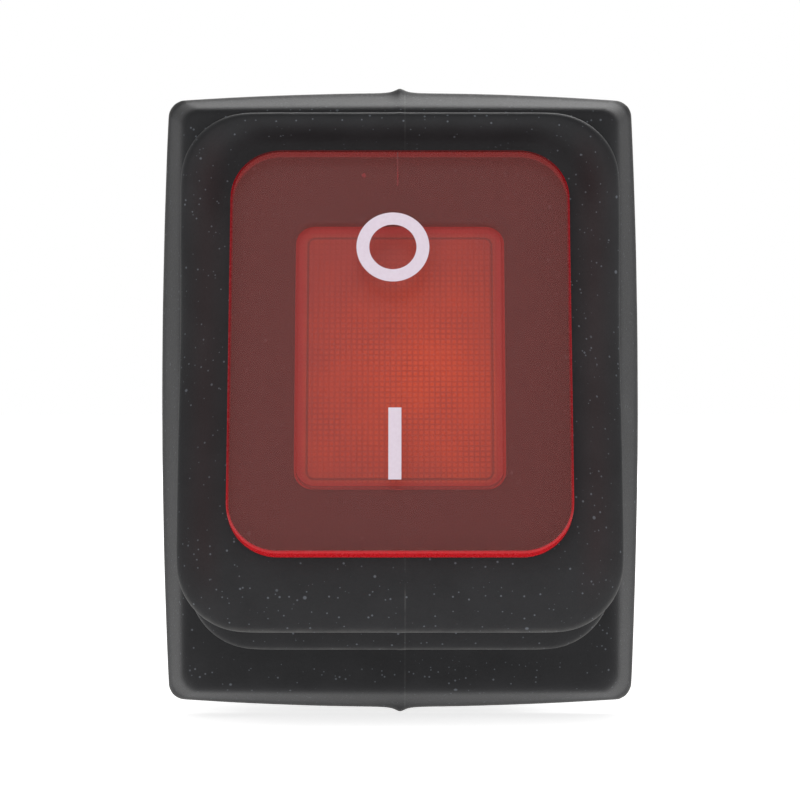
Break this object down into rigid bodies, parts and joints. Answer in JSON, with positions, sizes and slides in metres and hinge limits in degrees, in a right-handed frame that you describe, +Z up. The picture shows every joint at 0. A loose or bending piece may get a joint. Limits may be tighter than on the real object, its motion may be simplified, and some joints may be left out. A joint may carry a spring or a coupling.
{
  "type": "sealed lit rocker switch",
  "caption": "Sealed double-pole rocker switch with a lamp: a clear red plate on a rubber boot, snap-in latches and flat tabs.",
  "frame": {"origin": "centre of the panel cut-out, on the plane of the panel's front face", "axes": "+Y into the panel, -Y out towards the user, +X to the right across the width, +Z up, the O end on top"},
  "size_m": [0.0286, 0.0385, 0.037],
  "materials": {
    "black_nylon": "moulded, satin",
    "black_rubber": "matt, dusty",
    "clear_red_plastic": "clear red, polished",
    "red_plastic": "milky red, moulded",
    "lamp_glass": "clear glass",
    "nickel_wire": "drawn wire",
    "resistor_paint": "dipped paint",
    "spring_steel": "drawn wire",
    "pale_nylon": "moulded, satin",
    "copper_alloy": "rolled strip",
    "contact_silver": "headed rivet",
    "tinned_brass": "tin-plated strip with bare brass shoulders"
  },
  "bodies": {
    "housing": {"housing": "black_nylon", "boot": "black_rubber", "common_terminal_left": "tinned_brass", "load_terminal_left": "tinned_brass", "fixed_contact_left": "contact_silver", "common_terminal_right": "tinned_brass", "load_terminal_right": "tinned_brass", "fixed_contact_right": "contact_silver"},
    "rocker": {"rocker_cap": "clear_red_plastic", "rocker_body": "red_plastic", "lamp_glass": "lamp_glass", "lamp_electrode_left": "nickel_wire", "lamp_electrode_right": "nickel_wire", "lamp_resistor": "resistor_paint", "lamp_spring_left": "spring_steel", "plunger_spring_left": "spring_steel", "lamp_spring_right": "spring_steel", "plunger_spring_right": "spring_steel"},
    "blade_left": {"contact_blade_left": "copper_alloy", "moving_contact_left": "contact_silver"},
    "plunger_left": {"plunger_left": "pale_nylon"},
    "blade_right": {"contact_blade_right": "copper_alloy", "moving_contact_right": "contact_silver"},
    "plunger_right": {"plunger_right": "pale_nylon"}
  },
  "joints": [
    {"name": "rocker_tilt", "type": "hinge", "parent": "housing", "child": "rocker", "pos_m": [0, 0, 0], "axis": [1, 0, 0], "range_deg": [0, 33], "deforming": ["boot", "lamp_spring_left", "lamp_spring_right"]},
    {"name": "blade_left_tilt", "type": "hinge", "parent": "housing", "child": "blade_left", "pos_m": [-0.0055, 0.00855, 0], "axis": [1, 0, 0], "range_deg": [-18, 0]},
    {"name": "plunger_left_slide", "type": "slide", "parent": "rocker", "child": "plunger_left", "axis": [0, 0.9588, -0.284], "range_m": [-0.0008, 0], "stiffness_N_per_m": 300, "deforming": ["plunger_spring_left"]},
    {"name": "blade_right_tilt", "type": "hinge", "parent": "housing", "child": "blade_right", "pos_m": [0.0055, 0.00855, 0], "axis": [1, 0, 0], "range_deg": [-18, 0]},
    {"name": "plunger_right_slide", "type": "slide", "parent": "rocker", "child": "plunger_right", "axis": [0, 0.9588, -0.284], "range_m": [-0.0008, 0], "stiffness_N_per_m": 300, "deforming": ["plunger_spring_right"]}
  ],
  "couplings": [
    {"joint": "blade_left_tilt", "follows": "rocker_tilt", "ratio": -0.54546},
    {"joint": "blade_right_tilt", "follows": "rocker_tilt", "ratio": -0.54546}
  ]
}
